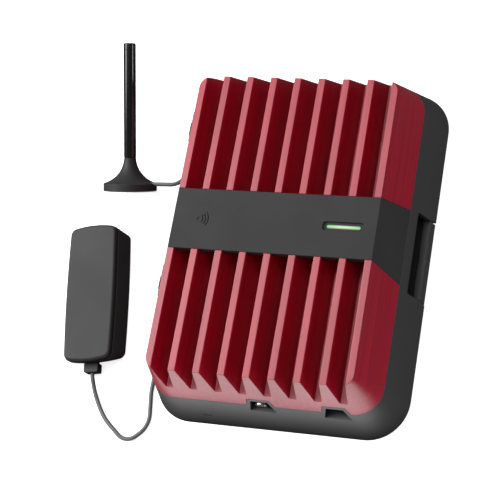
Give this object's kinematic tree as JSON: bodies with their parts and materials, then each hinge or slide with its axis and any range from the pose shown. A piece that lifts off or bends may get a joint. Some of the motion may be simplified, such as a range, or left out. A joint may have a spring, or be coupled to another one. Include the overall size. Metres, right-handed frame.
{
  "type": "cellular signal booster",
  "caption": "Flat radio signal repeater with a finned heat sink, centre band and clip-on wall bracket, shown with its magnetic outside antenna and its flat inside antenna.",
  "frame": {"origin": "centre of the wall bracket's back face", "axes": "+Z out of the wall through the bracket and the fins, +Y along the fins towards the outside-antenna jack, +X across the fins"},
  "size_m": [0.1688, 0.1728, 0.0431],
  "materials": {
    "red_anodised": "matte red painted casting",
    "black_plastic": "fine-grained matte moulding",
    "antenna_plastic": "satin moulding",
    "mast_black": "satin black tube",
    "lens": "frosted light pipe",
    "steel": "zinc plated",
    "plated": "nickel and gold plated contact",
    "board": "green solder mask",
    "chip": "moulded package",
    "ceramic": "ceramic block",
    "can": "bright drawn can",
    "pad": "soft grey pad",
    "magnet": "sintered magnet",
    "light_pad": "smooth pale protective pad",
    "cable": "flexible cable jacket",
    "label": "blank satin label"
  },
  "bodies": {
    "bracket": {"bracket_plate": "black_plastic", "latch_pins": "steel"},
    "left_latch": {"left_latch_arm": "black_plastic"},
    "right_latch": {"right_latch_arm": "black_plastic"},
    "booster": {"heat_sink": "red_anodised", "centre_band": "black_plastic", "light_pipe": "lens", "base_tray": "black_plastic", "rating_label": "label", "case_screws": "steel", "board_screws": "steel", "main_board": "board", "uplink_shield_can": "can", "downlink_shield_can": "can", "thermal_pads": "pad", "amplifier_chips": "chip", "duplex_filters": "ceramic", "controller_chip": "chip", "power_inductor": "chip", "capacitors": "can", "status_led": "ceramic", "inside_antenna_jack": "plated", "outside_antenna_jack": "plated", "power_jack": "chip"},
    "outside_antenna": {"antenna_base": "antenna_plastic", "antenna_magnet": "magnet", "base_pad": "light_pad", "antenna_mast": "mast_black", "mast_cap": "mast_black", "radiating_element": "plated", "outside_antenna_cable": "cable", "outside_antenna_plug": "plated"},
    "inside_antenna": {"inside_back_cover": "antenna_plastic", "inside_front_cover": "antenna_plastic", "inside_antenna_board": "board", "adhesive_pad": "pad", "cable_clamp": "antenna_plastic", "inside_antenna_cable": "cable", "inside_antenna_plug": "plated"}
  },
  "joints": [
    {"name": "left_latch_hinge", "type": "hinge", "parent": "bracket", "child": "left_latch", "pos_m": [-0.0539, 0, 0.0018], "axis": [0, -1, 0], "range_deg": [0, 8]},
    {"name": "right_latch_hinge", "type": "hinge", "parent": "bracket", "child": "right_latch", "pos_m": [0.0539, 0, 0.0018], "axis": [0, 1, 0], "range_deg": [0, 8]},
    {"name": "booster_release", "type": "slide", "parent": "bracket", "child": "booster", "axis": [0, 0, 1], "range_m": [0, 0.04]},
    {"name": "outside_antenna_lift", "type": "slide", "parent": "bracket", "child": "outside_antenna", "axis": [0, 0, 1], "range_m": [0, 0.06]},
    {"name": "inside_antenna_lift", "type": "slide", "parent": "bracket", "child": "inside_antenna", "axis": [0, 0, 1], "range_m": [0, 0.06]}
  ]
}
